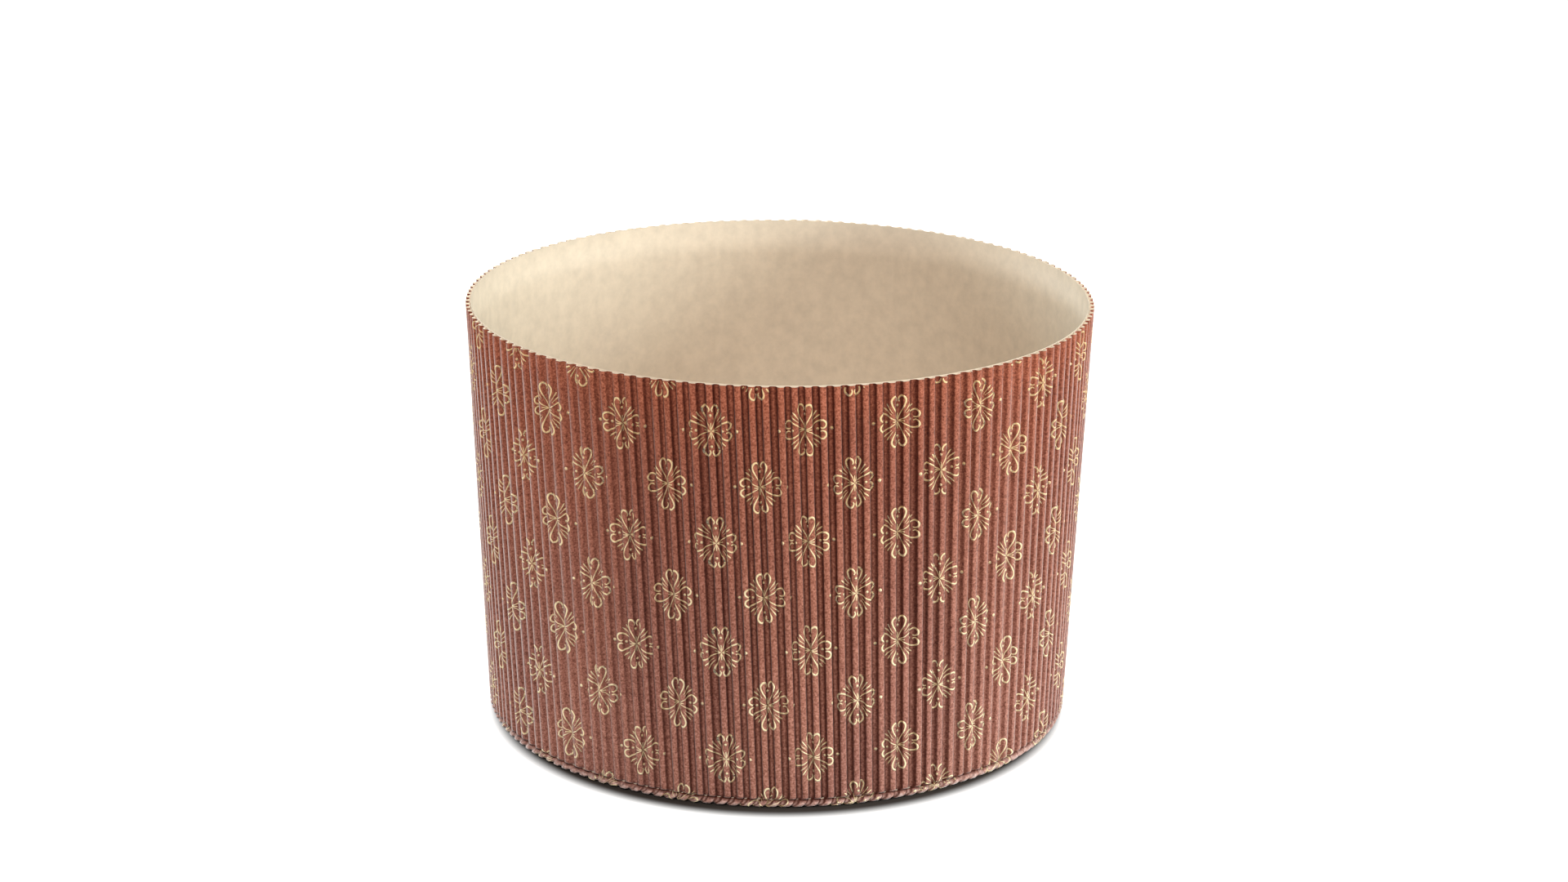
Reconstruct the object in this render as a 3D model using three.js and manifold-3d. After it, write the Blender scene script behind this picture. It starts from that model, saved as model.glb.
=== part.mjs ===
// A round paper baking mould, standing empty: a wall of fluted paper folded under at the foot, and a base disc.
// Millimetres, +Z up, origin on the ground at the centre of the base. Azimuth 0 faces -Y and grows towards +X.
import * as THREE from 'three';
import Module from 'manifold-3d';

const wasm = await Module();
wasm.setup();

// Overall size, measured over the crests of the flutes.
const FOOT_RADIUS = 77;
const RIM_RADIUS = 81.1;
const HEIGHT = 110;

// The fluted sheet: a wavy outer paper glued to a smooth liner, with an open tunnel behind every crest.
const FLUTE_COUNT = 148;
const FLUTE_DEPTH = 1.1;
const FLUTE_PAPER = 0.25;
const LINER_PAPER = 0.25;
const CREST_SHARE = 0.32;
const VALLEY_SHARE = 0.3;
const FLUTE_LEAN_DEG = 3.1;
const FLUTE_PHASE_DEG = -0.7;

// The foot: the flutes are nipped by a crease, swell into a bead and lie crushed under the base as a hem.
const FOLD_HEIGHT = 2.9;
const CREASE_HEIGHT = 2.2;
const CREASE_INSET = 0.75;
const BEAD_HEIGHT = 1.1;
const BEAD_GROOVE = 0.6;
const BEAD_TURN = 1.4;
const HEM_WIDTH = 13;
const HEM_THICKNESS = 1.2;
const HEM_GROOVE = 0.35;
const HEM_RIDGE_SHARE = 0.6;
const HEM_GROOVE_SHARE = 0.2;
const HEM_LEAN_DEG = -1.8;

// The glued lap at the back, where one end of the strip lies over the other.
const LAP_WIDTH = 10;
const LAP_RISE = 0.7;
const LAP_RAMP_WIDTH = 6.6;

// The loose-cut disc that lies on the hem.
const DISC_THICKNESS = 0.6;
const DISC_CLEARANCE = 0.5;

const TURN = 2 * Math.PI;
const PITCH = TURN / FLUTE_COUNT;
const FLUTE_PHASE = THREE.MathUtils.degToRad(FLUTE_PHASE_DEG);
const TUNNEL_FLOOR = FOLD_HEIGHT + FLUTE_DEPTH;
const TUNNEL_OVERCUT = 1;
const WALL_THICKNESS = FLUTE_DEPTH + FLUTE_PAPER + LINER_PAPER;

// Radius over the crests at a height on the tapered wall.
function crestRadius(z) {
  return THREE.MathUtils.mapLinear(z, FOLD_HEIGHT, HEIGHT, FOOT_RADIUS, RIM_RADIUS);
}

function linerRadius(z) {
  return crestRadius(z) - WALL_THICKNESS;
}

// The flutes lean: going down the wall each one moves round the mould.
function wallLean(z) {
  return THREE.MathUtils.degToRad(FLUTE_LEAN_DEG) * (0.5 - z / HEIGHT);
}

function pointAt(azimuth, radius, z) {
  return new THREE.Vector3(radius * Math.sin(azimuth), -radius * Math.cos(azimuth), z);
}

// How far each flute is lifted by the lap, from 0 to 1: a slow ramp, the lap, then the cut end directly behind.
const LAP_END = Math.round(FLUTE_COUNT / 2) + 1;
const FLUTE_WIDTH = PITCH * FOOT_RADIUS;
const LAP_START = LAP_END - Math.round(LAP_WIDTH / FLUTE_WIDTH);
const LAP_RAMP_FLUTES = Math.max(1, Math.round(LAP_RAMP_WIDTH / FLUTE_WIDTH));

function lapLift(flute) {
  if (flute >= LAP_END) {
    return 0;
  }
  return THREE.MathUtils.clamp(1 - (LAP_START - flute) / (LAP_RAMP_FLUTES + 1), 0, 1);
}

// One level of the outer surface: a crest and a valley for every flute, four points each.
// inset and lift say how far the valley lies inside and above the crest.
function fluteRing({ radius, z, inset, lift, crestShare, valleyShare, lean, lapRise }) {
  const points = [];
  for (let flute = 0; flute < FLUTE_COUNT; flute += 1) {
    const middle = FLUTE_PHASE + flute * PITCH + lean;
    const valleyMiddle = middle + PITCH / 2;
    const crest = radius + lapRise * lapLift(flute);
    const valley = crest - inset;
    points.push(pointAt(middle - PITCH * crestShare / 2, crest, z));
    points.push(pointAt(middle + PITCH * crestShare / 2, crest, z));
    points.push(pointAt(valleyMiddle - PITCH * valleyShare / 2, valley, z + lift));
    points.push(pointAt(valleyMiddle + PITCH * valleyShare / 2, valley, z + lift));
  }
  return points;
}

// One level of the smooth inner surface: a single point for every flute.
function plainRing(radius, z, lean) {
  const points = [];
  for (let flute = 0; flute < FLUTE_COUNT; flute += 1) {
    points.push(pointAt(FLUTE_PHASE + flute * PITCH + lean, radius, z));
  }
  return points;
}

function wallRing(z) {
  return fluteRing({
    radius: crestRadius(z), z, inset: FLUTE_DEPTH, lift: 0,
    crestShare: CREST_SHARE, valleyShare: VALLEY_SHARE, lean: wallLean(z), lapRise: LAP_RISE,
  });
}

// The crushed pleats of the hem slant: they move on round the mould from the bead to the hem's inner edge.
function hemRing(radius, slant) {
  return fluteRing({
    radius, z: 0, inset: 0, lift: HEM_GROOVE, crestShare: HEM_RIDGE_SHARE, valleyShare: HEM_GROOVE_SHARE,
    lean: wallLean(0) + THREE.MathUtils.degToRad(HEM_LEAN_DEG) * slant, lapRise: 0,
  });
}

function footRings() {
  const crease = fluteRing({
    radius: FOOT_RADIUS - CREASE_INSET, z: CREASE_HEIGHT, inset: FLUTE_DEPTH - CREASE_INSET, lift: 0,
    crestShare: CREST_SHARE, valleyShare: VALLEY_SHARE, lean: wallLean(CREASE_HEIGHT), lapRise: LAP_RISE / 2,
  });
  const bead = fluteRing({
    radius: FOOT_RADIUS, z: BEAD_HEIGHT, inset: BEAD_GROOVE, lift: 0,
    crestShare: HEM_RIDGE_SHARE, valleyShare: HEM_GROOVE_SHARE,
    lean: wallLean(0) + THREE.MathUtils.degToRad(HEM_LEAN_DEG) / 3, lapRise: LAP_RISE / 2,
  });
  return [crease, bead, hemRing(FOOT_RADIUS - BEAD_TURN, 2 / 3), hemRing(FOOT_RADIUS - HEM_WIDTH, 1)];
}

// Joins two rings with triangles. Where one ring has fewer points, they fan out from its one point per flute.
function bridge(upper, upperStart, lower, lowerStart, triangles) {
  const upperPer = upper.length / FLUTE_COUNT;
  const lowerPer = lower.length / FLUTE_COUNT;
  const up = (i) => upperStart + i % upper.length;
  const low = (i) => lowerStart + i % lower.length;
  for (let flute = 0; flute < FLUTE_COUNT; flute += 1) {
    const u = flute * upperPer;
    const l = flute * lowerPer;
    if (upperPer === lowerPer) {
      for (let i = 0; i < upperPer; i += 1) {
        triangles.push(up(u + i), low(l + i), low(l + i + 1));
        triangles.push(up(u + i), low(l + i + 1), up(u + i + 1));
      }
    } else if (upperPer > lowerPer) {
      for (let i = 0; i < upperPer; i += 1) {
        triangles.push(up(u + i), low(l), up(u + i + 1));
      }
      triangles.push(up(u + upperPer), low(l), low(l + 1));
    } else {
      for (let i = 0; i < lowerPer; i += 1) {
        triangles.push(up(u), low(l + i), low(l + i + 1));
      }
      triangles.push(up(u), low(l + lowerPer), up(u + 1));
    }
  }
}

function toManifold(points, triangles) {
  const vertProperties = new Float32Array(points.flatMap((point) => point.toArray()));
  return new wasm.Manifold(new wasm.Mesh({ numProp: 3, vertProperties, triVerts: new Uint32Array(triangles) }));
}

function toGeometry(solid) {
  const mesh = solid.getMesh();
  const geometry = new THREE.BufferGeometry();
  geometry.setAttribute('position', new THREE.BufferAttribute(new Float32Array(mesh.vertProperties), 3));
  geometry.setIndex(new THREE.BufferAttribute(new Uint32Array(mesh.triVerts), 1));
  geometry.computeVertexNormals();
  return geometry;
}

// The sheet as one closed skin: down the outside, under the foot, back over the hem and up the liner.
function sheetSolid() {
  const rings = [
    wallRing(HEIGHT),
    wallRing(FOLD_HEIGHT),
    ...footRings(),
    plainRing(FOOT_RADIUS - HEM_WIDTH, HEM_THICKNESS, wallLean(0) + THREE.MathUtils.degToRad(HEM_LEAN_DEG)),
    plainRing(linerRadius(HEM_THICKNESS), HEM_THICKNESS, wallLean(0)),
    plainRing(linerRadius(HEIGHT), HEIGHT, wallLean(HEIGHT)),
  ];
  const starts = [];
  let count = 0;
  for (const ring of rings) {
    starts.push(count);
    count += ring.length;
  }
  const triangles = [];
  rings.forEach((ring, i) => {
    const next = (i + 1) % rings.length;
    bridge(ring, starts[i], rings[next], starts[next], triangles);
  });
  return toManifold(rings.flat(), triangles);
}

// The section of one tunnel at a height: the inside of the outer paper, closed by the liner's back.
function tunnelSection(flute, z) {
  const crest = crestRadius(z) + LAP_RISE * lapLift(flute);
  const width = PITCH * crest;
  const flankRun = width * (1 - CREST_SHARE - VALLEY_SHARE) / 2;
  const flank = Math.hypot(flankRun, FLUTE_DEPTH);
  const narrowing = FLUTE_PAPER * (flank - flankRun) / FLUTE_DEPTH;
  const outerHalf = width * CREST_SHARE / 2 - narrowing;
  const innerHalf = width * CREST_SHARE / 2 + flankRun - narrowing;
  const outer = crest - FLUTE_PAPER;
  const inner = crest - FLUTE_DEPTH - FLUTE_PAPER;
  const middle = FLUTE_PHASE + flute * PITCH + wallLean(z);
  return [
    pointAt(middle - outerHalf / outer, outer, z), pointAt(middle + outerHalf / outer, outer, z),
    pointAt(middle + innerHalf / inner, inner, z), pointAt(middle - innerHalf / inner, inner, z),
  ];
}

// All the tunnels as separate four-sided bars, from just above the fold to past the rim.
function tunnelSolids() {
  const points = [];
  const triangles = [];
  const sides = 4;
  for (let flute = 0; flute < FLUTE_COUNT; flute += 1) {
    const low = points.length;
    const high = low + sides;
    points.push(...tunnelSection(flute, TUNNEL_FLOOR), ...tunnelSection(flute, HEIGHT + TUNNEL_OVERCUT));
    for (let i = 0; i < sides; i += 1) {
      const next = (i + 1) % sides;
      triangles.push(low + i, low + next, high + next);
      triangles.push(low + i, high + next, high + i);
    }
    for (let i = 1; i < sides - 1; i += 1) {
      triangles.push(low, low + i + 1, low + i);
      triangles.push(high, high + i, high + i + 1);
    }
  }
  return toManifold(points, triangles);
}

function flutedWall() {
  const material = new THREE.MeshStandardMaterial({ color: 0x96604f, roughness: 0.7, metalness: 0 });
  const wall = new THREE.Mesh(toGeometry(sheetSolid().subtract(tunnelSolids())), material);
  wall.name = 'fluted_wall';
  return wall;
}

function baseDisc() {
  const radius = linerRadius(HEM_THICKNESS) - DISC_CLEARANCE;
  const geometry = new THREE.CylinderGeometry(radius, radius, DISC_THICKNESS, FLUTE_COUNT);
  const material = new THREE.MeshStandardMaterial({ color: 0xd9c3a0, roughness: 0.75, metalness: 0 });
  const disc = new THREE.Mesh(geometry, material);
  disc.name = 'base_disc';
  disc.rotation.x = Math.PI / 2;
  disc.position.z = HEM_THICKNESS + DISC_THICKNESS / 2;
  return disc;
}

const mould = new THREE.Group();
mould.add(flutedWall());
mould.add(baseDisc());

export default mould;
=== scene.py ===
"""A round fluted paper baking mould, standing empty on a pale floor. Metres, +Z up, the front faces -Y."""
import math

import bpy
import numpy as np
from mathutils import Matrix, Vector


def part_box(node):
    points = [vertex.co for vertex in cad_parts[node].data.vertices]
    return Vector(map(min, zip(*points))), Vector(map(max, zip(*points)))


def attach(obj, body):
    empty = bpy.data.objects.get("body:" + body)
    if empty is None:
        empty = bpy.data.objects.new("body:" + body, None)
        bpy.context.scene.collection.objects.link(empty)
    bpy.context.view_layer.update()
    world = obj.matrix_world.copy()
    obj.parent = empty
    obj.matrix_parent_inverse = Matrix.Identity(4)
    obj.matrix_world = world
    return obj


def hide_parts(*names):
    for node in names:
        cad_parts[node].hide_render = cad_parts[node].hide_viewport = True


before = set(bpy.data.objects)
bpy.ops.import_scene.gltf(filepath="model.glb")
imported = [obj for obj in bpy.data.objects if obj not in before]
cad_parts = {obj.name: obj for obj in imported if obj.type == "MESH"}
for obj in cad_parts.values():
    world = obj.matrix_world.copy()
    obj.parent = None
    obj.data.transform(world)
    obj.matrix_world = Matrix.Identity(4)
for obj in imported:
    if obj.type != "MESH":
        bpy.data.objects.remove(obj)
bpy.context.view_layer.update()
_, wall_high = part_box("fluted_wall")
disc_low, disc_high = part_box("base_disc")

# Sizes below are in millimetres; a finished mesh is written in metres.
MM = 0.001
TURN = 2 * math.pi

# The frame's own sizes.
HEIGHT = wall_high.z / MM
RIM_RADIUS = wall_high.x / MM
DISC_RADIUS = disc_high.x / MM
DISC_BOTTOM = disc_low.z / MM
DISC_TOP = disc_high.z / MM

# The fluted sheet. Its flutes stand where the frame's do but are rounded, and its papers are thinner.
FOOT_RADIUS = 77.0
FLUTE_COUNT = 148
FLUTE_DEPTH = 1.1
CREST_SHARE = 0.39
VALLEY_SHARE = 0.35
ROUNDING = 0.13
PAPER = 0.2
LINER = 0.22
FLUTE_LEAN = math.radians(3.1)
FLUTE_PHASE = math.radians(-0.7)
PITCH = TURN / FLUTE_COUNT
FLUTE_WIDTH = PITCH * (FOOT_RADIUS + RIM_RADIUS) / 2

# The foot: crease, bead and hem. Slants are in flutes, and grooves are depths of the flutes there.
FOLD_HEIGHT = 2.9
CREASE_HEIGHT = 2.0
CREASE_SPREAD = 0.38
CREASE_INSET = 0.95
CREASE_FLATTENING = 0.6
BEAD_HEIGHT = 1.1
BEAD_TURN = 1.4
BEAD_GROOVE = 0.72
BEAD_SWELL = 0.35
HEM_WIDTH = 13.0
HEM_EDGE = FOOT_RADIUS - HEM_WIDTH
HEM_GROOVE = 0.38
HEM_TOP = 0.95
HEM_SLANT = -0.9
SLANT_SHARE_IN_FOOT = 0.7
SLANT_SHARE_IN_HEM = 0.3
WALL_SLOPE = (RIM_RADIUS - FOOT_RADIUS) / (HEIGHT - FOLD_HEIGHT)

# Rows of points down the sheet.
WALL_ROWS = 13
CREASE_ROWS = 9
BEAD_ROWS = 7
HEM_ROWS = 5

# The glued lap directly behind: where it ends, its width and its ramp in flutes, and its rise in millimetres.
LAP_END = round(FLUTE_COUNT / 2) + 0.5
LAP_FLUTES = 3
LAP_RAMP = 2.5
LAP_RISE = 0.62

# How far single flutes differ in depth, place, strength of their painted shade and thickness of the bead.
DEPTH_SPREAD = 0.16
PLACE_SPREAD = 0.07
LEAST_TONE = 0.74
TONE_SPREAD = 0.26
LEAST_SWELL = 0.5
SWELL_SPREAD = 0.5

rng = np.random.default_rng(7)
flute_depths = 1 - DEPTH_SPREAD * rng.random(FLUTE_COUNT)
flute_shifts = PLACE_SPREAD * rng.standard_normal(FLUTE_COUNT)
# Each flute's share of the painted shade.
flute_shade_strengths = LEAST_TONE + TONE_SPREAD * rng.random(FLUTE_COUNT) ** 0.5
bead_swells = LEAST_SWELL + SWELL_SPREAD * rng.random(FLUTE_COUNT)


def smooth_step(value, low, high):
    """0 below low, 1 above high and an S-curve between them."""
    t = np.clip((value - low) / (high - low), 0, 1)
    return t * t * (3 - 2 * t)


def around(values, turns):
    """One value for each flute, blended smoothly between flutes; turns counts flutes round the mould."""
    low = np.floor(turns).astype(int)
    part = smooth_step(turns - low, 0, 1)
    return values[low % FLUTE_COUNT] * (1 - part) + values[(low + 1) % FLUTE_COUNT] * part


def upright_profile():
    """The wall, straight down from the rim, and the crease, a Gaussian dip in radius, as far as the bead.

    Returns columns: radius, height, inward direction (radial, upward) and valley depth.
    """
    wall = np.linspace(HEIGHT, FOLD_HEIGHT + 0.7, WALL_ROWS)
    crease = np.linspace(FOLD_HEIGHT + 0.4, BEAD_HEIGHT + 0.1, CREASE_ROWS)
    height = np.concatenate([wall, crease])
    nip = np.exp(-((height - CREASE_HEIGHT) / CREASE_SPREAD) ** 2)
    radius = FOOT_RADIUS + WALL_SLOPE * np.maximum(height - FOLD_HEIGHT, 0) - CREASE_INSET * nip
    below = np.clip((CREASE_HEIGHT - height) / (CREASE_HEIGHT - BEAD_HEIGHT), 0, 1)
    depth = FLUTE_DEPTH - (FLUTE_DEPTH - BEAD_GROOVE) * below - CREASE_FLATTENING * nip
    rows = len(height)
    return np.stack([radius, height, -np.ones(rows), np.zeros(rows), depth], axis=1)


def folded_profile():
    """The bead, a quarter ellipse, and the hem, flat on the ground, as the same columns."""
    turn = np.linspace(0, math.pi / 2, BEAD_ROWS)
    hem = np.linspace(FOOT_RADIUS - BEAD_TURN, HEM_EDGE, HEM_ROWS)[1:]
    rows = len(hem)
    radius = np.concatenate([FOOT_RADIUS - BEAD_TURN * (1 - np.cos(turn)), hem])
    height = np.concatenate([BEAD_HEIGHT * (1 - np.sin(turn)), np.zeros(rows)])
    radial = np.concatenate([-np.cos(turn), np.zeros(rows)])
    upward = np.concatenate([np.sin(turn), np.ones(rows)])
    groove = BEAD_GROOVE + (HEM_GROOVE - BEAD_GROOVE) * turn / turn[-1]
    depth = np.concatenate([groove, np.full(rows, HEM_GROOVE)])
    return np.stack([radius, height, radial, upward, depth], axis=1)


def profile_table():
    """The line over the crests, from the rim to the hem's inner edge.

    Returns the columns above, then slant in flutes and foot share: 0 on the wall and 1 on the ground.
    """
    radius, height, radial, upward, depth = np.concatenate([upright_profile(), folded_profile()]).T
    foot = np.clip((FOLD_HEIGHT - height) / FOLD_HEIGHT, 0, 1)
    inward = np.clip((FOOT_RADIUS - BEAD_TURN - radius) / (HEM_WIDTH - BEAD_TURN), 0, 1)
    slant = HEM_SLANT * (SLANT_SHARE_IN_FOOT * foot ** 1.5 + SLANT_SHARE_IN_HEM * inward)
    return np.stack([radius, height, radial, upward, depth, slant, foot], axis=1)


PROFILE = profile_table()
PROFILE_HEIGHT = PROFILE[:, 1]
PROFILE_FOOT = PROFILE[:, 6]
RUN = np.concatenate([[0], np.cumsum(np.hypot(*np.diff(PROFILE[:, :2], axis=0).T))])
SLOPE_LENGTH = math.hypot(1, WALL_SLOPE)

# Places across one flute, closest together on its flanks; the crest is at 0 and the valleys are at the ends.
HALF_LANES = np.array([0.1, 0.185, 0.215, 0.245, 0.275, 0.31, 0.36])
LANES = np.concatenate([[-0.5], -HALF_LANES[::-1], [0], HALF_LANES])
LANES_CLOSED = np.append(LANES, 0.5)


def flute_section(part):
    """Half a flute on the wall, from the crest's middle at 0 to the valley's at 0.5.

    Crest and valley are parabolas that each take ROUNDING of the depth, with a steep flank between them.
    """
    crest = ROUNDING * np.clip(part / (CREST_SHARE / 2), 0, 1) ** 2
    valley = ROUNDING * (1 - np.clip((0.5 - part) / (VALLEY_SHARE / 2), 0, 1) ** 2)
    flank = smooth_step(part, CREST_SHARE / 2, 0.5 - VALLEY_SHARE / 2)
    return crest + (1 - 2 * ROUNDING) * flank + valley


# Crushed on the hem a flute is a broad ridge, tipped to one side: steep before and shallow after its crest.
WALL_SHAPE = flute_section(np.abs(LANES_CLOSED))
HEM_STEEP = smooth_step(-LANES_CLOSED, 0.3, 0.48)
HEM_SHALLOW = smooth_step(LANES_CLOSED, 0.12, 0.5)
HEM_SHAPE = np.where(LANES_CLOSED < 0, HEM_STEEP, HEM_SHALLOW)


def wave(part, foot):
    """The section of one flute, 0 at the crest's middle and 1 in the valley, straight between LANES."""
    wall = np.interp(part, LANES_CLOSED, WALL_SHAPE)
    return wall + foot * (np.interp(part, LANES_CLOSED, HEM_SHAPE) - wall)


def all_lanes():
    """The lanes of every flute in turn, in flutes round the mould."""
    return (np.arange(FLUTE_COUNT)[:, None] + LANES[None, :]).ravel()


def lap_lift(turns):
    """The lap's rise: a ramp, a flat stretch, and a sudden end at LAP_END flutes round."""
    turns = turns % FLUTE_COUNT
    ramp = np.clip((turns - (LAP_END - LAP_FLUTES - LAP_RAMP)) / LAP_RAMP, 0, 1)
    return LAP_RISE * np.where(turns < LAP_END, ramp, 0)


def sheet_point(turns, run, lift=0.0, side=0.0):
    """A point of the outer paper: turns flutes round and run millimetres down from the rim, in millimetres.

    The crest line gives radius and height; the flute's wave pushes the point inwards from it by its depth.
    lift moves the point out of the paper, and side moves it inwards, to the sheet's other face.
    """
    turns, run = np.broadcast_arrays(turns, run)
    radius, height, radial, upward, depth, slant, foot = (np.interp(run, RUN, column) for column in PROFILE.T)
    part = turns - np.floor(turns + 0.5)
    hollow = wave(part, foot) * depth * around(flute_depths, turns)
    off_ground = upward < 0.99
    swell = (1 - around(bead_swells, turns)) * BEAD_SWELL * foot * off_ground
    push = hollow + swell - lift + side
    radius = radius + radial * push + lap_lift(turns) * (1 - foot)
    height = height + upward * push
    shift = turns + slant + around(flute_shifts, turns) * (1 - foot)
    azimuth = FLUTE_PHASE + shift * PITCH + FLUTE_LEAN * (0.5 - height / HEIGHT)
    return np.stack([radius * np.sin(azimuth), -radius * np.cos(azimuth), height], axis=-1)


# Painted shade, which stands for the shade on the flanks and in the valleys: how dark the flutes are painted
# by depth in the flute, how much of that is left at the sides and behind, and the cosines of the angle from
# the front between which it fades.
SHADE_DEPTHS = [0.0, 0.12, 0.3, 0.88, 1.0]
SHADES = [0.0, 0.12, 0.96, 0.96, 0.3]
SIDE_SHADE = 0.32
SHADE_MIDDLE = math.radians(3)
SHADE_FADED = 0.72
SHADE_FULL = 0.96
CREASE_SHADE_SPREAD = 0.9 * CREASE_SPREAD


def shade_at(turns, run):
    """How dark the painted shade is: 0 on a crest, most on the flanks and in the crease, and less in a
    valley.

    The painted shade is weaker at the sides and behind than in front, so the flutes are paler there.
    """
    turns, run = np.broadcast_arrays(turns, run)
    height = np.interp(run, RUN, PROFILE_HEIGHT)
    foot = np.interp(run, RUN, PROFILE_FOOT)
    part = turns - np.floor(turns + 0.5)
    shade = np.interp(wave(part, foot), SHADE_DEPTHS, SHADES) * around(flute_shade_strengths, turns)
    azimuth = FLUTE_PHASE + turns * PITCH
    # The painted shade fades from the front towards the sides and back.
    front = smooth_step(np.cos(azimuth - SHADE_MIDDLE), SHADE_FADED, SHADE_FULL)
    shade = shade * (SIDE_SHADE + (1 - SIDE_SHADE) * front)
    # Painted shade in the crease above the bead.
    crease = np.exp(-((height - CREASE_HEIGHT) / CREASE_SHADE_SPREAD) ** 2)
    return np.maximum(shade, crease)


def new_object(name, points, corners, sizes, materials, slots=None, smooth=True, shade=None):
    """A mesh from points in millimetres, a flat list of face corners and each face's number of corners.

    slots gives each face its material, and shade each point its share of the painted shade that materials
    add.
    """
    mesh = bpy.data.meshes.new(name)
    mesh.vertices.add(len(points))
    mesh.vertices.foreach_set("co", (np.asarray(points) * MM).astype(np.float32).ravel())
    mesh.loops.add(len(corners))
    mesh.loops.foreach_set("vertex_index", np.asarray(corners, np.int32))
    mesh.polygons.add(len(sizes))
    mesh.polygons.foreach_set("loop_start", np.concatenate([[0], np.cumsum(sizes)[:-1]]).astype(np.int32))
    mesh.polygons.foreach_set("loop_total", np.asarray(sizes, np.int32))
    mesh.polygons.foreach_set("use_smooth", np.full(len(sizes), smooth))
    for material in materials:
        mesh.materials.append(material)
    if slots is not None:
        mesh.polygons.foreach_set("material_index", np.asarray(slots, np.int32))
    if shade is not None:
        layer = mesh.attributes.new("shade", "FLOAT", "POINT")
        layer.data.foreach_set("value", np.asarray(shade, np.float32).ravel())
    mesh.update(calc_edges=True)
    mesh.validate()
    piece = bpy.data.objects.new(name, mesh)
    bpy.context.scene.collection.objects.link(piece)
    return piece


def ring_quads(rows, columns, joins):
    """Faces from each of the first joins rings of points to the next; the last ring leads to the first."""
    row, column = np.meshgrid(np.arange(joins), np.arange(columns), indexing="ij")
    here = row * columns
    below = (row + 1) % rows * columns
    beside = (column + 1) % columns
    return np.stack([here + column, below + column, below + beside, here + beside], axis=-1)


def tube_piece(name, rings, materials, slots, shade=None):
    """A closed skin: rings of equal length, joined each to the next and the last to the first."""
    rows, columns = rings.shape[:2]
    quads = ring_quads(rows, columns, rows)
    sizes = np.full(rows * columns, 4)
    face_slots = np.broadcast_to(slots, (rows, columns)).ravel()
    return new_object(name, rings.reshape(-1, 3), quads.ravel(), sizes, materials, face_slots, shade=shade)


def ring(radius, height, azimuth):
    """A level circle at the given azimuths."""
    height = np.broadcast_to(height, azimuth.shape)
    return np.stack([radius * np.sin(azimuth), -radius * np.cos(azimuth), height], axis=-1)


def liner_radius(height):
    """The inside of the liner on the tapered wall."""
    return FOOT_RADIUS + WALL_SLOPE * (height - FOLD_HEIGHT) - FLUTE_DEPTH - PAPER - LINER


def grey(level):
    """A colour without hue."""
    return (level, level, level)


# Linear colours, and stops of colour ramps: place and colour. Heights are shares of the mould's height.
PAPER_TONES = [(0.34, (0.22, 0.07, 0.045)), (0.5, (0.6, 0.23, 0.155)), (0.66, (1.0, 0.46, 0.33))]
PAPER_DRIFT = [(0.3, (0.86, 0.84, 0.88)), (0.7, (1.06, 1.04, 1.02))]
# Painted light: paler and bluer towards the foot, and darker and redder towards the rim.
PAPER_PAINTED_LIGHT_BY_HEIGHT = [(0.0, (0.62, 0.67, 0.7)), (0.45, (0.56, 0.54, 0.52)), (0.75, (0.54, 0.45, 0.39)),
                   (1.0, (0.54, 0.39, 0.295))]
# Painted shade: the colour the paper is darkened towards on the flanks, in the valleys and in the crease.
PAPER_PAINTED_SHADE = (0.13, 0.045, 0.022)
# Painted highlight on the bead: its colour, its share by height, and the flecks it is broken into.
BEAD_HIGHLIGHT_COLOUR = (0.9, 0.66, 0.58)
BEAD_HIGHLIGHT_BY_HEIGHT = [(0.0, grey(0.1)), (0.004, grey(0.35)), (0.009, grey(0.7)), (0.018, grey(0))]
BEAD_HIGHLIGHT_FLECKS = [(0.42, grey(0.25)), (0.6, grey(1))]
GOLD_TONES = [(0.25, (0.8, 0.55, 0.29)), (0.45, (1.0, 0.77, 0.45)), (0.75, (1.0, 0.88, 0.58))]
# Painted light on the gold print: darker and more orange towards the rim.
GOLD_PAINTED_LIGHT_BY_HEIGHT = [(0.3, grey(1)), (1.0, (0.86, 0.72, 0.55))]
# Painted shade: the colour the gold print is darkened towards on the flanks and in the valleys.
GOLD_PAINTED_SHADE = (0.4, 0.3, 0.19)
CLOUD_SHARE = 0.86


def shader(name, base, roughness, specular):
    """A node material with its own Principled shader; returns the material, its nodes, links and shader."""
    material = bpy.data.materials.new(name)
    material.use_nodes = True
    nodes = material.node_tree.nodes
    surface = nodes["Principled BSDF"]
    surface.inputs["Base Color"].default_value = (*base, 1)
    surface.inputs["Roughness"].default_value = roughness
    surface.inputs["Specular IOR Level"].default_value = specular
    return material, nodes, material.node_tree.links, surface


def scaled_noise(nodes, links, stretch, scale, detail=4.0, roughness=0.6):
    """Noise over Object coordinates in metres, stretched on each axis."""
    coordinates = nodes.new("ShaderNodeTexCoord")
    mapping = nodes.new("ShaderNodeMapping")
    mapping.inputs["Scale"].default_value = stretch
    noise = nodes.new("ShaderNodeTexNoise")
    noise.inputs["Scale"].default_value = scale
    noise.inputs["Detail"].default_value = detail
    noise.inputs["Roughness"].default_value = roughness
    links.new(coordinates.outputs["Object"], mapping.inputs["Vector"])
    links.new(mapping.outputs["Vector"], noise.inputs["Vector"])
    return noise.outputs["Fac"]


def colour_ramp(nodes, links, source, stops):
    """The colour that stops of (place, colour) give for source."""
    ramp = nodes.new("ShaderNodeValToRGB")
    elements = ramp.color_ramp.elements
    while len(elements) < len(stops):
        elements.new(0.5)
    for element, (place, colour) in zip(elements, stops):
        element.position = place
        element.color = (*colour, 1)
    links.new(source, ramp.inputs["Fac"])
    return ramp.outputs["Color"]


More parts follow.
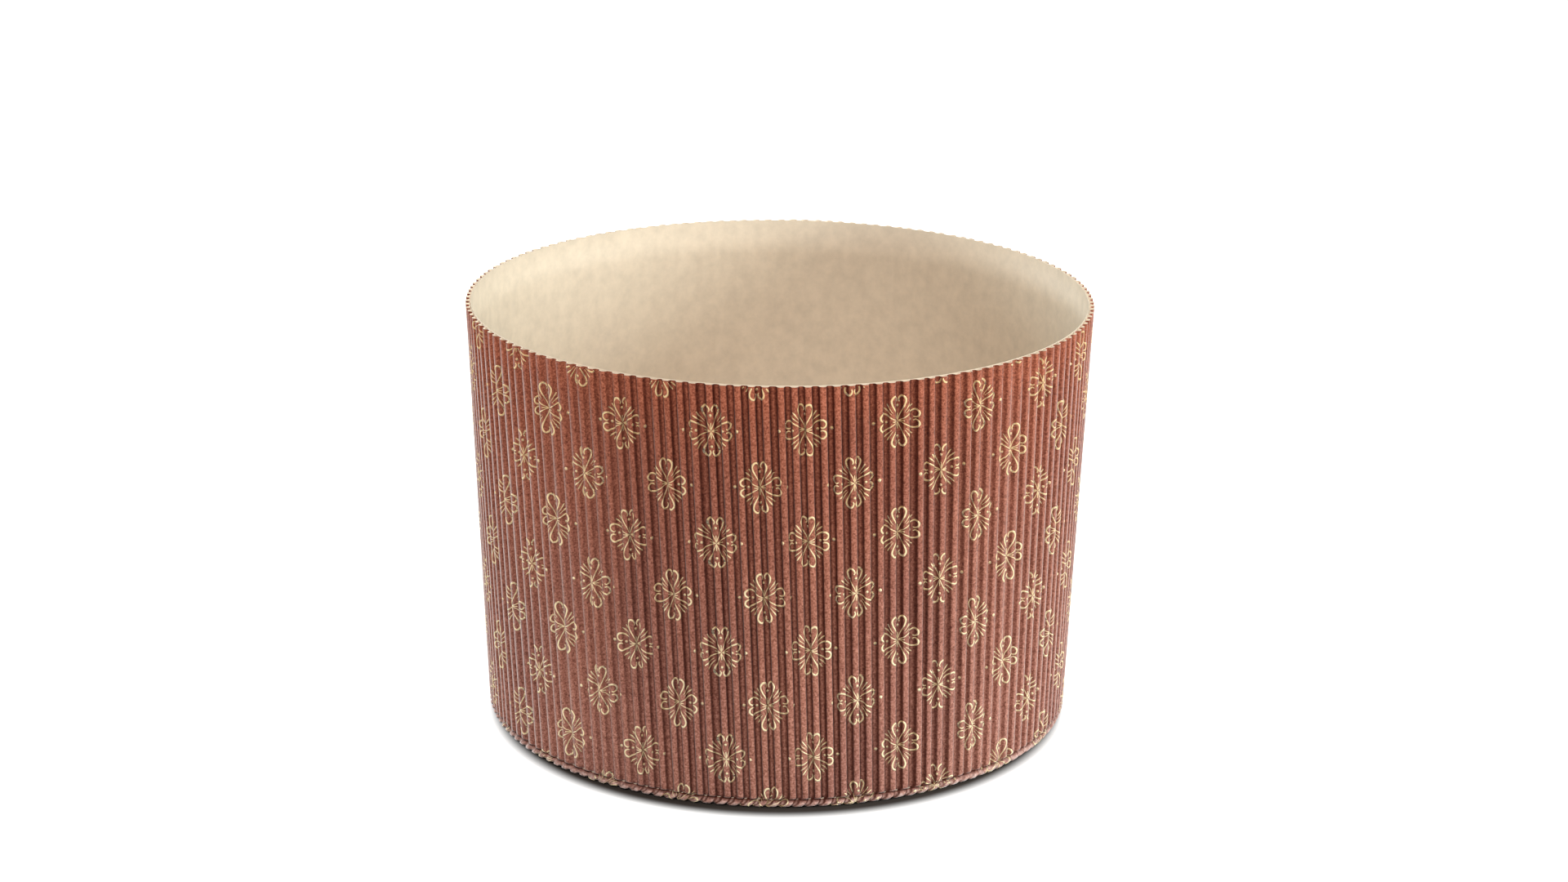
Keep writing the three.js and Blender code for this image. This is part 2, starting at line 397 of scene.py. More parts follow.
def mixed(nodes, links, first, second, factor):
    """Two colours mixed by a socket."""
    mix = nodes.new("ShaderNodeMix")
    mix.data_type = "RGBA"
    links.new(factor, mix.inputs["Factor"])
    links.new(first, mix.inputs["A"])
    links.new(second, mix.inputs["B"])
    return mix.outputs["Result"]


def multiplied(nodes, links, first, second):
    """One colour multiplied by another."""
    mix = nodes.new("ShaderNodeMix")
    mix.data_type = "RGBA"
    mix.blend_type = "MULTIPLY"
    mix.inputs["Factor"].default_value = 1.0
    links.new(first, mix.inputs["A"])
    links.new(second, mix.inputs["B"])
    return mix.outputs["Result"]


def worked_out(nodes, links, operation, first, second):
    """One step of arithmetic on a socket; second is a number or a socket."""
    step = nodes.new("ShaderNodeMath")
    step.operation = operation
    links.new(first, step.inputs[0])
    if isinstance(second, float):
        step.inputs[1].default_value = second
    else:
        links.new(second, step.inputs[1])
    return step.outputs[0]


def number_range(nodes, links, source, low, high):
    """A number that goes from low to high as source goes from 0 to 1."""
    spread = nodes.new("ShaderNodeMapRange")
    spread.inputs["To Min"].default_value = low
    spread.inputs["To Max"].default_value = high
    links.new(source, spread.inputs["Value"])
    return spread.outputs["Result"]


def height_share(nodes, links):
    """The point's height as a share of the mould's height."""
    coordinates = nodes.new("ShaderNodeTexCoord")
    parts = nodes.new("ShaderNodeSeparateXYZ")
    links.new(coordinates.outputs["Object"], parts.inputs[0])
    return worked_out(nodes, links, "DIVIDE", parts.outputs["Z"], HEIGHT * MM)


def mesh_shade(nodes):
    """The mesh's own shade values."""
    shade = nodes.new("ShaderNodeAttribute")
    shade.attribute_name = "shade"
    return shade.outputs["Fac"]


def tint_by_shade(nodes, links, colour, dark):
    """The colour, multiplied by up to the painted shade colour as the mesh's shade rises."""
    tint = colour_ramp(nodes, links, mesh_shade(nodes), [(0.0, grey(1)), (1.0, dark)])
    return multiplied(nodes, links, colour, tint)


def add_bump(nodes, links, surface, source, strength, distance):
    """Bump from source, with distance in metres."""
    bump = nodes.new("ShaderNodeBump")
    bump.inputs["Strength"].default_value = strength
    bump.inputs["Distance"].default_value = distance
    links.new(source, bump.inputs["Height"])
    links.new(bump.outputs["Normal"], surface.inputs["Normal"])


def dye_and_painted_light(nodes, links, height):
    """The brown dye, a fine mottle and a slow drift of tone, times painted light: paler and bluer towards the
    foot, and darker and redder towards the rim.
    """
    mottle = scaled_noise(nodes, links, (1, 1, 1), 1900, 5.0, 0.75)
    slow = scaled_noise(nodes, links, (1, 1, 0.4), 45, 3.0, 0.5)
    tones = colour_ramp(nodes, links, mottle, PAPER_TONES)
    drift = colour_ramp(nodes, links, slow, PAPER_DRIFT)
    colour = multiplied(nodes, links, tones, drift)
    # Painted light by height.
    return multiplied(nodes, links, colour, colour_ramp(nodes, links, height, PAPER_PAINTED_LIGHT_BY_HEIGHT))


def bead_painted_highlight(nodes, links, colour, height):
    """The colour with a painted highlight, broken into flecks, on the bead over the ground."""
    highlight_colour = nodes.new("ShaderNodeRGB")
    highlight_colour.outputs[0].default_value = (*BEAD_HIGHLIGHT_COLOUR, 1)
    highlight_by_height = colour_ramp(nodes, links, height, BEAD_HIGHLIGHT_BY_HEIGHT)
    flecks = colour_ramp(nodes, links, scaled_noise(nodes, links, (1, 1, 0.6), 900), BEAD_HIGHLIGHT_FLECKS)
    return mixed(nodes, links, colour, highlight_colour.outputs[0], multiplied(nodes, links, highlight_by_height, flecks))


def brown_paper():
    """Reddish brown dyed paper with a fibrous face and a soft sheen on the crests, with painted shade in the
    flutes, painted light by height and a painted highlight on the bead.
    """
    material, nodes, links, surface = shader("brown_paper", (0.4, 0.14, 0.1), 0.65, 0.05)
    height = height_share(nodes, links)
    colour = bead_painted_highlight(nodes, links, dye_and_painted_light(nodes, links, height), height)
    # Painted shade in the flutes and the crease.
    colour = tint_by_shade(nodes, links, colour, PAPER_PAINTED_SHADE)
    links.new(colour, surface.inputs["Base Color"])
    links.new(number_range(nodes, links, mesh_shade(nodes), 0.95, 0.02), surface.inputs["Sheen Weight"])
    surface.inputs["Sheen Roughness"].default_value = 0.4
    surface.inputs["Sheen Tint"].default_value = (1, 0.94, 0.91, 1)
    fibre = scaled_noise(nodes, links, (1, 1, 5), 900, 6.0, 0.75)
    add_bump(nodes, links, surface, fibre, 0.3, 0.00012)
    return material


def cream_paper(name, base, roughness):
    """Pale greaseproof paper: faint clouding and fibres."""
    material, nodes, links, surface = shader(name, base, roughness, 0.25)
    clouds = scaled_noise(nodes, links, (1, 1, 1), 260, 6.0, 0.65)
    dark = tuple(CLOUD_SHARE * value for value in base)
    links.new(colour_ramp(nodes, links, clouds, [(0.3, dark), (0.65, base)]), surface.inputs["Base Color"])
    fibre = scaled_noise(nodes, links, (1, 1, 1), 1500, 5.0, 0.7)
    add_bump(nodes, links, surface, fibre, 0.25, 0.0001)
    return material


def gold_ink():
    """Pale gold ink, thin enough to show the paper's tooth."""
    material, nodes, links, surface = shader("gold_ink", (0.78, 0.56, 0.3), 0.45, 0.2)
    wear = scaled_noise(nodes, links, (1, 1, 1), 2200, 4.0, 0.7)
    tones = colour_ramp(nodes, links, wear, GOLD_TONES)
    # Painted light by height, and then painted shade from the mesh's shade values.
    painted_light_by_height = colour_ramp(nodes, links, height_share(nodes, links), GOLD_PAINTED_LIGHT_BY_HEIGHT)
    colour = tint_by_shade(nodes, links, multiplied(nodes, links, tones, painted_light_by_height), GOLD_PAINTED_SHADE)
    links.new(colour, surface.inputs["Base Color"])
    surface.inputs["Sheen Weight"].default_value = 0.35
    surface.inputs["Sheen Tint"].default_value = (1, 0.96, 0.85, 1)
    add_bump(nodes, links, surface, wear, 0.2, 0.00005)
    return material


brown = brown_paper()
cut_cream = cream_paper("cream_paper", (0.86, 0.7, 0.52), 0.6)
liner_cream = cream_paper("cream_liner", (0.7, 0.56, 0.41), 0.62)
disc_board = cream_paper("disc_board", (0.66, 0.52, 0.36), 0.6)
gold = gold_ink()

# The sheet's hidden side. Both wall pieces have their own material first and the cream of cut edges second.
CREAM_SLOT = 1
TUNNEL_FLOOR = FOLD_HEIGHT + 1.2
BACK_END = FOLD_HEIGHT + 1.5
BACK_TOP_RUN = 6.0


def fluted_paper():
    """The outer paper: its printed face down to the hem's inner edge, then its back up to the rim."""
    turns = all_lanes()
    face = sheet_point(turns[None, :], RUN[:, None])
    azimuth = FLUTE_PHASE + turns * PITCH
    hem_azimuth = azimuth + FLUTE_LEAN / 2 + HEM_SLANT * PITCH
    hem_back = ring(HEM_EDGE, HEM_TOP, hem_azimuth)
    corner = ring(liner_radius(HEM_TOP) + LINER, HEM_TOP, hem_azimuth)
    tunnel_floor = ring(liner_radius(FOLD_HEIGHT) + LINER, TUNNEL_FLOOR, azimuth + FLUTE_LEAN / 2)
    back_runs = np.array([np.interp(-BACK_END, -PROFILE_HEIGHT, RUN), BACK_TOP_RUN, 0.0])
    back = sheet_point(turns[None, :], back_runs[:, None], side=PAPER)
    rings = np.concatenate([face, hem_back[None], corner[None], tunnel_floor[None], back])
    slots = np.zeros(rings.shape[:2], int)
    slots[len(face) - 1:] = CREAM_SLOT
    lap_cut = np.searchsorted(turns, LAP_END) - 1
    slots[:np.searchsorted(-PROFILE_HEIGHT, -FOLD_HEIGHT), lap_cut] = CREAM_SLOT
    shade = np.zeros(rings.shape[:2])
    shade[:len(face)] = shade_at(turns[None, :], RUN[:, None])
    return tube_piece("fluted_paper", rings, [brown, cut_cream], slots, shade)


LINER_COLUMNS_PER_FLUTE = 8
LINER_HEIGHTS = np.concatenate([np.linspace(HEIGHT, 4, 12), [2.0, 1.4]])
LINER_RIB = 0.05
LINER_FOLD_TOP = DISC_BOTTOM - 0.02
LINER_FOLD_INSET = 0.25


def inner_liner():
    """The smooth liner, faintly ribbed where the flutes are glued to it, turned in over the hem."""
    turns = np.arange(FLUTE_COUNT * LINER_COLUMNS_PER_FLUTE) / LINER_COLUMNS_PER_FLUTE
    heights = LINER_HEIGHTS[:, None]
    azimuth = FLUTE_PHASE + turns[None, :] * PITCH + FLUTE_LEAN * (0.5 - heights / HEIGHT)
    rib = LINER_RIB * (0.5 + 0.5 * np.cos(TURN * turns[None, :])) * around(flute_depths, turns)[None, :]
    inside = ring(liner_radius(heights) + rib, heights, azimuth)
    outside = ring(liner_radius(heights) + rib + LINER, heights, azimuth)
    top, bottom = LINER_FOLD_TOP, LINER_FOLD_TOP - LINER
    fold = [ring(liner_radius(top) + LINER, bottom, azimuth[-1]), ring(HEM_EDGE, bottom, azimuth[-1]),
            ring(HEM_EDGE, top, azimuth[-1]), ring(liner_radius(top) - LINER_FOLD_INSET, top, azimuth[-1])]
    rings = np.concatenate([outside, np.array(fold), inside[::-1]])
    slots = np.zeros((len(rings), 1), int)
    slots[-1] = CREAM_SLOT
    return tube_piece("inner_liner", rings, [liner_cream, cut_cream], slots)


DISC_COLUMNS = 192
DISC_MIDDLE = 0.4
DISC_TOP_RADII = np.array([DISC_MIDDLE, 12, 26, 40, 52, HEM_EDGE - 2.5, HEM_EDGE - 1, HEM_EDGE,
                           HEM_EDGE + 1.2, 70, DISC_RADIUS - 0.25])
DISC_LOW_RADII = [DISC_RADIUS - 0.2, 50, DISC_MIDDLE]
DISC_SINK = 0.12
DISC_SINK_SPREAD = 0.6
DISC_WOBBLE = 0.04


def disc_piece():
    """The base disc: a flat board with a rounded edge and a faint ring pressed over the hem's inner edge.

    Inside that ring the top sinks by DISC_SINK along a logistic curve, and wobbles in three waves round.
    """
    azimuth = np.arange(DISC_COLUMNS) / DISC_COLUMNS * TURN
    radii = DISC_TOP_RADII[:, None]
    sink = DISC_SINK / (1 + np.exp((radii - HEM_EDGE) / DISC_SINK_SPREAD))
    wobble = DISC_WOBBLE * np.sin(3 * azimuth[None, :] + radii / 9) * (radii < HEM_EDGE - 3)
    level = DISC_TOP - DISC_WOBBLE - sink + wobble
    top = ring(radii, level, np.broadcast_to(azimuth, level.shape))
    edge = [ring(DISC_RADIUS, DISC_TOP - 0.2, azimuth), ring(DISC_RADIUS, DISC_BOTTOM + 0.12, azimuth)]
    low = [ring(radius, DISC_BOTTOM + 0.01, azimuth) for radius in DISC_LOW_RADII]
    rings = np.concatenate([top, np.array(edge), np.array(low)])
    joins = len(rings) - 1
    quads = ring_quads(len(rings), DISC_COLUMNS, joins)
    cap_top = np.arange(DISC_COLUMNS)
    cap_low = joins * DISC_COLUMNS + np.arange(DISC_COLUMNS)[::-1]
    corners = np.concatenate([quads.ravel(), cap_top, cap_low])
    sizes = np.concatenate([np.full(joins * DISC_COLUMNS, 4), [DISC_COLUMNS, DISC_COLUMNS]])
    return new_object("disc_board", rings.reshape(-1, 3), corners, sizes, [disc_board])


# The printed ornament: staggered columns of motifs, all counted from one whose angle was measured.
PRINT_COLUMNS = 44
COLUMN_DEG = 8.158
MEASURED_COLUMN_DEG = -43.04
COLUMN_STEP = math.radians(COLUMN_DEG) / PITCH
FIRST_COLUMN = (math.radians(MEASURED_COLUMN_DEG - 16 * COLUMN_DEG) - FLUTE_PHASE) / PITCH
FRONT_COLUMN = (math.radians(MEASURED_COLUMN_DEG + 5 * COLUMN_DEG) - FLUTE_PHASE) / PITCH
PRINT_ROWS = range(-2, 6)
ROW_STEP = 28.49
TOP_ROW = 98.84
ROW_CLIMB = 0.413 / COLUMN_STEP
LOWEST_MOTIF = -16
HIGHEST_MOTIF = HEIGHT + 7

# How far the ink's edges and middle stand over the paper, and a dot's middle and hidden base.
INK_EDGE = 0.04
INK_MIDDLE = 0.06
DOT_MIDDLE = INK_MIDDLE + 0.01
DOT_BASE = -0.02

# What the print keeps clear: the rim and the hem's inner edge in millimetres, and the lap's end in flutes.
CLEAR_OF_RIM = 0.35
CLEAR_OF_HEM = 3.0
CLEAR_OF_LAP = 0.2


def flute_arc():
    """How far along the paper a point lies, for its place across one flute's width: a table of both."""
    part = np.linspace(-0.5, 0.5, 257)
    depth = FLUTE_DEPTH * np.mean(flute_depths) * wave(part, 0.0)
    length = np.concatenate([[0], np.cumsum(np.hypot(np.diff(part) * FLUTE_WIDTH, np.diff(depth)))])
    return part, length


ARC_PART, ARC_LENGTH = flute_arc()
PAPER_PITCH = ARC_LENGTH[-1]
# The print is drawn so that it is seen narrowed by this much on the fluted wall.
SEEN_NARROWING = 1.32
STRETCH = PAPER_PITCH / FLUTE_WIDTH / SEEN_NARROWING


def turns_to_paper(turns):
    """Flutes round the mould, as millimetres along the flattened paper."""
    whole = np.floor(turns + 0.5)
    return whole * PAPER_PITCH + np.interp(turns - whole, ARC_PART, ARC_LENGTH)


def paper_to_turns(length):
    """Millimetres along the flattened paper, as flutes round the mould."""
    whole = np.floor(length / PAPER_PITCH)
    return whole + np.interp(length - whole * PAPER_PITCH, ARC_LENGTH, ARC_PART)


def curve_through(knots, t):
    """A Catmull-Rom curve through the knots, for t from 0 to 1."""
    knots = np.asarray(knots, float)
    padded = np.concatenate([[2 * knots[0] - knots[1]], knots, [2 * knots[-1] - knots[-2]]])
    place = np.clip(t, 0, 1) * (len(knots) - 1)
    cell = np.minimum(place.astype(int), len(knots) - 2)
    u = (place - cell)[..., None]
    a, b, c, d = (padded[cell + i] for i in range(4))
    cubic = (3 * b - a - 3 * c + d) * u ** 3
    return 0.5 * (2 * b + (c - a) * u + (2 * a - 5 * b + 4 * c - d) * u ** 2 + cubic)


# Strokes of one motif: knots (outwards, sideways) in millimetres on the flat paper, steps, thin and thick
# width, and how late along the stroke it is thickest (1 is its middle).
PETAL_KNOTS = [(0.35, 0.1), (1.6, 0.6), (2.9, 1.35), (4.2, 2.05), (5.4, 2.3), (6.3, 1.6), (6.15, 0.75),
               (5.4, 0.3), (4.8, 0.5)]
PETAL = (PETAL_KNOTS, 40, 0.2, 0.53, 1.25)
RAY = ([(3.0, 0.24), (4.4, 0.42), (5.9, 0.62)], 12, 0.12, 0.4, 2.2)
SPOKE = ([(0.1, 0.0), (1.1, 0.0), (2.0, 0.0)], 7, 0.18, 0.28, 1.0)

# Dots of one motif: distance from its middle and radius.
PETAL_DOT = 3.9
PETAL_DOT_RADIUS = 0.36
SIDE_DOT = 8.3
SIDE_DOT_RADIUS = 0.45
DOT_SIDES = 8

# Steps in which a stroke is tested against the sheet's edges, and the fewest of them that are worth drawing.
TEST_STEPS = 40
FEWEST_STEPS = 3
NEAR = 0.01


def motif_strokes():
    """All strokes of one motif as (knots turned to their place, steps, thin, thick, late)."""
    strokes = []

    def add(stroke, angle, mirror):
        """Adds a stroke that points at the angle from straight up, mirrored by -1."""
        knots, steps, thin, thick, late = stroke
        out, side = np.asarray(knots, float).T
        side = side * mirror
        x = out * math.sin(angle) + side * math.cos(angle)
        y = out * math.cos(angle) - side * math.sin(angle)
        strokes.append((np.stack([x, y], axis=1), steps, thin, thick, late))

    for quarter in range(4):
        angle = quarter * math.pi / 2
        for mirror in (-1, 1):
            add(PETAL, angle, mirror)
            add(RAY, angle + math.pi / 4, mirror)
        add(SPOKE, angle, 1)
    return strokes


def motif_dots():
    """The dots of one motif as (x, y, radius)."""
    angles = np.arange(4) * math.pi / 2
    dots = [(PETAL_DOT * math.sin(a), PETAL_DOT * math.cos(a), PETAL_DOT_RADIUS) for a in angles]
    return dots + [(SIDE_DOT, 0, SIDE_DOT_RADIUS), (-SIDE_DOT, 0, SIDE_DOT_RADIUS)]


def motif_places():
    """Centres of the motifs in turns and height: staggered columns whose rows climb round the mould."""
    places = []
    for column in range(PRINT_COLUMNS):
        turns = FIRST_COLUMN + column * COLUMN_STEP
        stagger = 0.5 if column % 2 else 0.0
        base = TOP_ROW + ROW_CLIMB * (turns - FRONT_COLUMN)
        for row in PRINT_ROWS:
            height = base - ROW_STEP * (row + stagger)
            if LOWEST_MOTIF < height < HIGHEST_MOTIF:
                places.append((turns, height))
    return np.array(places)


def print_to_sheet(places, x, y):
    """Flat coordinates about each motif's centre, as turns round the mould and run down from the rim."""
    centre = turns_to_paper(places[:, 0])[:, None]
    turns = paper_to_turns(centre + x * STRETCH)
    height = places[:, 1][:, None] + y + ROW_CLIMB * (turns - places[:, 0][:, None])
    return turns, (HEIGHT - height) * SLOPE_LENGTH


def inside_print(turns, run):
    """True where the print lies: below the rim, short of the hem's inner edge and clear of the lap's end."""
    lap_start = LAP_END - FLUTE_COUNT
    on_height = (run > CLEAR_OF_RIM) & (run < RUN[-1] - CLEAR_OF_HEM)
    return on_height & (turns > lap_start + CLEAR_OF_LAP) & (turns < LAP_END - CLEAR_OF_LAP)


def drawn_part(places, knots):
    """The places at which the sheet holds a stroke, with the t where it starts and ends on the sheet."""
    fine = np.linspace(0, 1, TEST_STEPS + 1)
    line = curve_through(knots, fine)
    turns, run = print_to_sheet(places, line[None, :, 0], line[None, :, 1])
    good = inside_print(turns, run)
    first = np.argmax(good, axis=1)
    after = np.argmin(good | (np.arange(TEST_STEPS + 1)[None, :] < first[:, None]), axis=1)
    last = np.where(after == 0, TEST_STEPS, after - 1)
    keep = good.any(axis=1) & (last - first > FEWEST_STEPS)
    return places[keep], fine[first[keep]], fine[last[keep]]


def ribbon_faces(count, steps):
    """The quads along the three sides of each ribbon, and the triangles that close its ends."""
    number = np.arange(count * steps * 3).reshape(count, steps, 3)
    here, ahead = number[:, :-1], number[:, 1:]
    quads = []
    for lane in range(3):
        beside = (lane + 1) % 3
        quads.append(np.stack([here[..., lane], here[..., beside],
                               ahead[..., beside], ahead[..., lane]], axis=-1).reshape(-1, 4))
    caps = np.concatenate([number[:, 0, ::-1], number[:, -1, :]])
    return np.concatenate(quads), caps


def stroke_ribbons(places, stroke):
    """One stroke at every place: a closed three-edged ribbon that lies on the sheet.

    Its centre line is the stroke's curve, cut off where it leaves the sheet. The width is thin plus a share
    of (thick - thin): the 1.3rd power of the sine of (pi times 0.92 times t to the power of late).
    """
    knots, steps, thin, thick, late = stroke
    places, first, last = drawn_part(places, knots)
    t = first[:, None] + (last - first)[:, None] * np.linspace(0, 1, steps)[None, :]
    centre = curve_through(knots, t)
    ahead = curve_through(knots, np.minimum(t + NEAR, 1)) - curve_through(knots, np.maximum(t - NEAR, 0))
    ahead = ahead / np.linalg.norm(ahead, axis=-1, keepdims=True)
    across = np.stack([ahead[..., 1], -ahead[..., 0]], axis=-1)
    width = thin + (thick - thin) * np.sin(math.pi * np.clip(t, 0, 1) ** late * 0.92) ** 1.3
    half = across * (width / 2)[..., None]
    points, shade = [], []
    for lane, lift in [(centre - half, INK_EDGE), (centre, INK_MIDDLE), (centre + half, INK_EDGE)]:
        turns, run = print_to_sheet(places, lane[..., 0], lane[..., 1])
        run = np.clip(run, 0.02, None)
        points.append(sheet_point(turns, run, lift))
        shade.append(shade_at(turns, run))
    quads, caps = ribbon_faces(len(places), steps)
    return np.stack(points, axis=2).reshape(-1, 3), quads, caps, np.stack(shade, axis=2).ravel()


def dot_caps(places, dot):
    """One dot at every place: a closed low dome."""
    x, y, radius = dot
    angle = np.arange(DOT_SIDES) / DOT_SIDES * TURN
    edge_x = x + radius * np.sin(angle)[None, :]
    edge_y = y + radius * np.cos(angle)[None, :]
    turns, run = print_to_sheet(places, edge_x, edge_y)
    keep = inside_print(turns, run).all(axis=1)
    places, turns, run = places[keep], turns[keep], run[keep]
    mid_turns, mid_run = print_to_sheet(places, np.array([[x]]), np.array([[y]]))
    points = np.concatenate([sheet_point(turns, run, INK_EDGE), sheet_point(mid_turns, mid_run, DOT_MIDDLE),
                             sheet_point(mid_turns, mid_run, DOT_BASE)], axis=1)
    number = np.arange(points.shape[0] * (DOT_SIDES + 2)).reshape(-1, DOT_SIDES + 2)
    top, base = number[:, DOT_SIDES], number[:, DOT_SIDES + 1]
    triangles = []
    for side in range(DOT_SIDES):
        here, beside = number[:, side], number[:, (side + 1) % DOT_SIDES]
        triangles.append(np.stack([beside, here, top], axis=-1))
        triangles.append(np.stack([here, beside, base], axis=-1))
    centre = shade_at(mid_turns, mid_run)
    shade = np.concatenate([shade_at(turns, run), centre, centre], axis=1)
    return points.reshape(-1, 3), np.concatenate(triangles), shade.ravel()


def gold_print(name, places):
    """The ornament at the given places, as one mesh of closed strokes and dots."""
    points, quads, triangles, shade, total = [], [], [], [], 0
    for stroke in motif_strokes():
        stroke_points, stroke_quads, caps, stroke_shade = stroke_ribbons(places, stroke)
        points.append(stroke_points)
        shade.append(stroke_shade)
        quads.append(stroke_quads + total)
        triangles.append(caps + total)
        total += len(stroke_points)
    for dot in motif_dots():
        dot_points, dot_triangles, dot_shade = dot_caps(places, dot)
        points.append(dot_points)
        shade.append(dot_shade)
        triangles.append(dot_triangles + total)
        total += len(dot_points)
    quads = np.concatenate(quads)
    triangles = np.concatenate(triangles)
    corners = np.concatenate([quads.ravel(), triangles.ravel()])
    sizes = np.concatenate([np.full(len(quads), 4), np.full(len(triangles), 3)])
    return new_object(name, np.concatenate(points), corners, sizes, [gold], shade=np.concatenate(shade))


def dress(piece):
    """Puts the piece on the mould's one body."""
    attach(piece, "root")
    return piece


paper = dress(fluted_paper())
dress(inner_liner())
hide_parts("fluted_wall")
disc = dress(disc_piece())
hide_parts("base_disc")
places = motif_places()
quarters = np.floor((FLUTE_PHASE + places[:, 0] * PITCH) / (math.pi / 2) + 0.5).astype(int) % 4
for quarter, side_name in enumerate(["front", "right", "back", "left"]):
    dress(gold_print("gold_print_" + side_name, places[quarters == quarter]))

# The stage. The floor's half width is in millimetres, as its points are; places and radii are in metres. Its
# painted shadow is a dark disc in its colour that ends between two radii about the floor's own middle.
FLOOR_HALF = 4000.0
FLOOR_PLACE = (0, -0.0058, -0.0001)
# Painted shadow: dark close round the mould, pale further out.
FLOOR_PAINTED_SHADOW_TONES = [(0.0, (0.05, 0.041, 0.035)), (0.9, (0.7, 0.68, 0.66))]
SHADOW_INSIDE = 0.0722
SHADOW_OUTSIDE = 0.0794
UNDER_RADIUS = 0.0733
AMBIENT = 0.05

# The photograph's view, in metres and degrees, with lens and sensor in millimetres.
CAMERA_AIM = Vector((0.00138, 0, 0.07043))
CAMERA_DISTANCE = 0.8393
CAMERA_TILT = math.radians(18.02)
CAMERA_ROLL = math.radians(0.55)
CAMERA_LENS = 73.33
CAMERA_SENSOR = 36

# Lights: name, place, size, power and colour.
WHITE = (1, 1, 1)
COOL = (0.83, 0.955, 1)
LIGHT_AIM = Vector((0, 0, 0.06))
LIGHTS = [
    ("key", (-0.05, -1.3, 1.0), 0.25, 18.3, WHITE),
    ("left", (-1.03, 0.71, 0.4), 0.5, 14, COOL),
    ("right", (1.25, -0.2, 0.4), 0.5, 19.8, COOL),
    ("top", (0, -0.1, 1.5), 0.5, 4, WHITE),
    ("below", (0, 0, -0.9), 0.5, 3, WHITE),
]


def camera_ray(nodes):
    """1 for what the camera sees directly, and 0 for what only lights other things."""
    return nodes.new("ShaderNodeLightPath").outputs["Is Camera Ray"]


def vector_length(nodes, links, vector):
    """The length of a vector socket."""
    measure = nodes.new("ShaderNodeVectorMath")
    measure.operation = "LENGTH"
    links.new(vector, measure.inputs[0])
    return measure.outputs["Value"]


def shadow_and_glow(nodes, links, surface):
    """A painted shadow close round the mould, and further out pale and glowing for the camera."""
    coordinates = nodes.new("ShaderNodeTexCoord")
    far = nodes.new("ShaderNodeMapRange")
    far.interpolation_type = "SMOOTHSTEP"
    far.inputs["From Min"].default_value = SHADOW_INSIDE
    far.inputs["From Max"].default_value = SHADOW_OUTSIDE
    links.new(vector_length(nodes, links, coordinates.outputs["Object"]), far.inputs["Value"])
    links.new(colour_ramp(nodes, links, far.outputs["Result"], FLOOR_PAINTED_SHADOW_TONES), surface.inputs["Base Color"])
    surface.inputs["Emission Color"].default_value = (*WHITE, 1)
    glow = worked_out(nodes, links, "MULTIPLY", far.outputs["Result"], camera_ray(nodes))
    links.new(glow, surface.inputs["Emission Strength"])


def clear_under(nodes, links, surface):
    """Clear from below and where the mould stands, so that its underside can be seen and lit."""
    place = nodes.new("ShaderNodeNewGeometry")
    from_middle = vector_length(nodes, links, place.outputs["Position"])
    under = worked_out(nodes, links, "LESS_THAN", from_middle, UNDER_RADIUS)
    seen_through = worked_out(nodes, links, "MAXIMUM", place.outputs["Backfacing"], under)
    sides = nodes.new("ShaderNodeMixShader")
    links.new(seen_through, sides.inputs["Fac"])
    links.new(surface.outputs["BSDF"], sides.inputs[1])
    links.new(nodes.new("ShaderNodeBsdfTransparent").outputs["BSDF"], sides.inputs[2])
    links.new(sides.outputs["Shader"], nodes["Material Output"].inputs["Surface"])


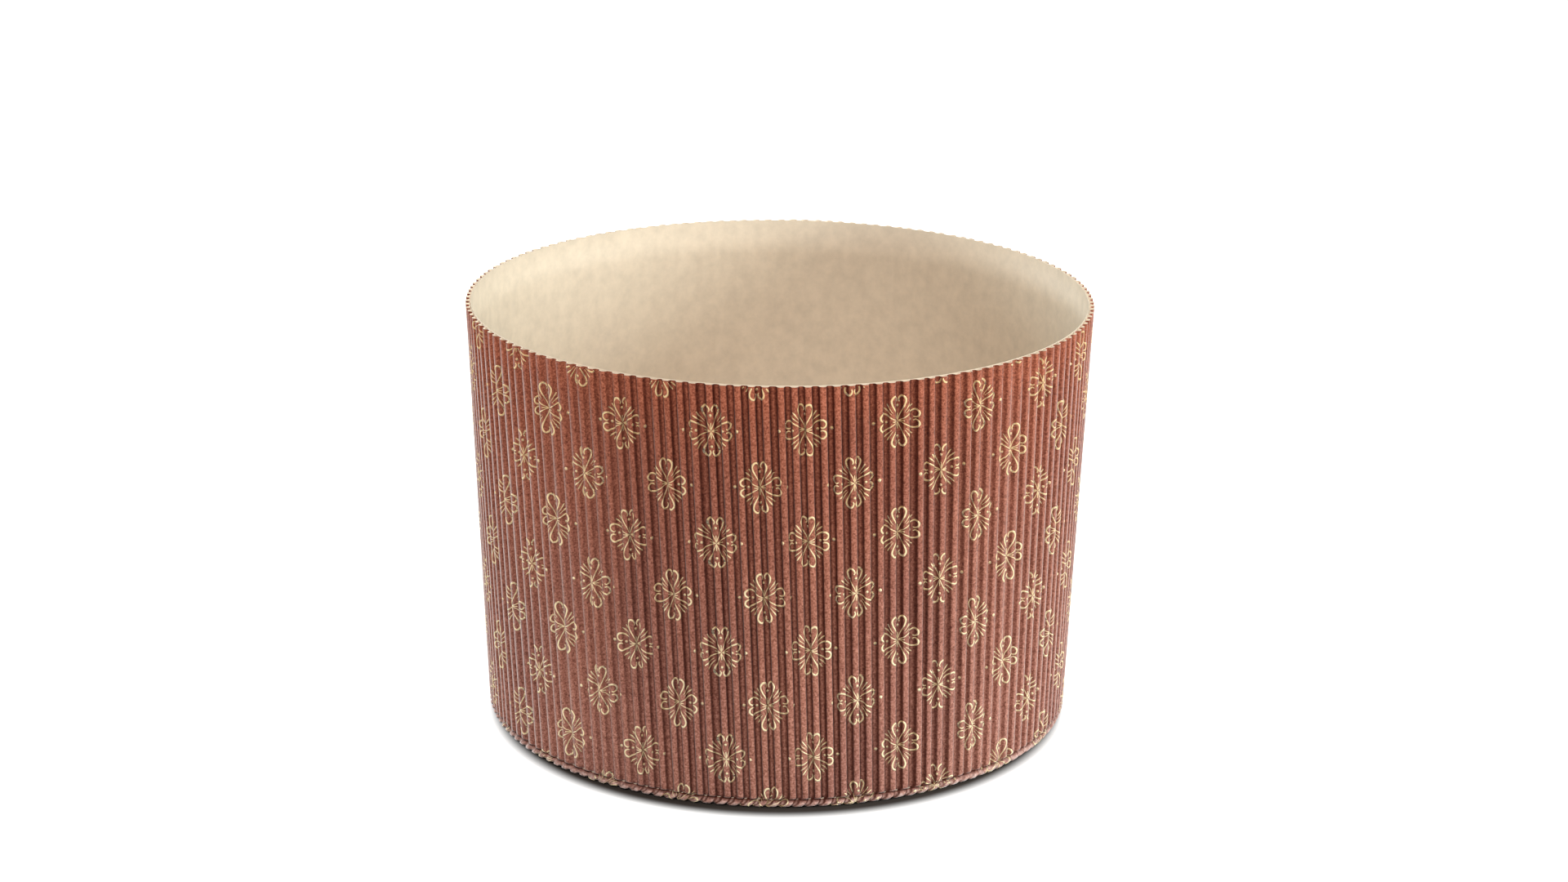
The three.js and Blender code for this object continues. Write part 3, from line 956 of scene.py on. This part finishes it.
def pale_floor():
    """A large white floor that keeps the shadow at the mould's foot, and has a painted shadow there too."""
    half = FLOOR_HALF
    corners = [(-half, -half, 0), (half, -half, 0), (half, half, 0), (-half, half, 0)]
    material, nodes, links, surface = shader("floor_white", (0.75, 0.75, 0.75), 0.95, 0.0)
    shadow_and_glow(nodes, links, surface)
    clear_under(nodes, links, surface)
    floor = new_object("floor", corners, [0, 1, 2, 3], [4], [material], smooth=False)
    floor.location = FLOOR_PLACE
    return floor


def white_world():
    """White for the camera, and only a faint light for everything else."""
    world = bpy.data.worlds.new("studio")
    bpy.context.scene.world = world
    world.use_nodes = True
    nodes, links = world.node_tree.nodes, world.node_tree.links
    backdrop = nodes["Background"]
    backdrop.inputs["Color"].default_value = (*WHITE, 1)
    links.new(number_range(nodes, links, camera_ray(nodes), AMBIENT, 1.0), backdrop.inputs["Strength"])


def soft_light(name, place, size, power, colour):
    """A square area light at place, pointing at the mould."""
    lamp = bpy.data.lights.new(name, "AREA")
    lamp.size = size
    lamp.energy = power
    lamp.color = colour
    holder = bpy.data.objects.new(name, lamp)
    holder.location = place
    holder.rotation_euler = (LIGHT_AIM - Vector(place)).to_track_quat("-Z", "Y").to_euler()
    bpy.context.scene.collection.objects.link(holder)


def photo_camera():
    """The camera, looking down at CAMERA_AIM by the tilt and turned about its line of sight by the roll."""
    back = Vector((0, -math.cos(CAMERA_TILT), math.sin(CAMERA_TILT)))
    side = Vector((1, 0, 0))
    up = Vector((0, math.sin(CAMERA_TILT), math.cos(CAMERA_TILT)))
    rolled_side = side * math.cos(CAMERA_ROLL) + up * math.sin(CAMERA_ROLL)
    rolled_up = up * math.cos(CAMERA_ROLL) - side * math.sin(CAMERA_ROLL)
    lens = bpy.data.cameras.new("camera")
    lens.lens = CAMERA_LENS
    lens.sensor_width = CAMERA_SENSOR
    lens.clip_start = 0.01
    lens.clip_end = 50
    camera = bpy.data.objects.new("camera", lens)
    axes = Matrix((rolled_side, rolled_up, back)).transposed().to_4x4()
    camera.matrix_world = Matrix.Translation(CAMERA_AIM + back * CAMERA_DISTANCE) @ axes
    bpy.context.scene.collection.objects.link(camera)
    bpy.context.scene.camera = camera


pale_floor()
white_world()
photo_camera()
for light in LIGHTS:
    soft_light(*light)
bpy.context.scene.view_settings.view_transform = "Standard"
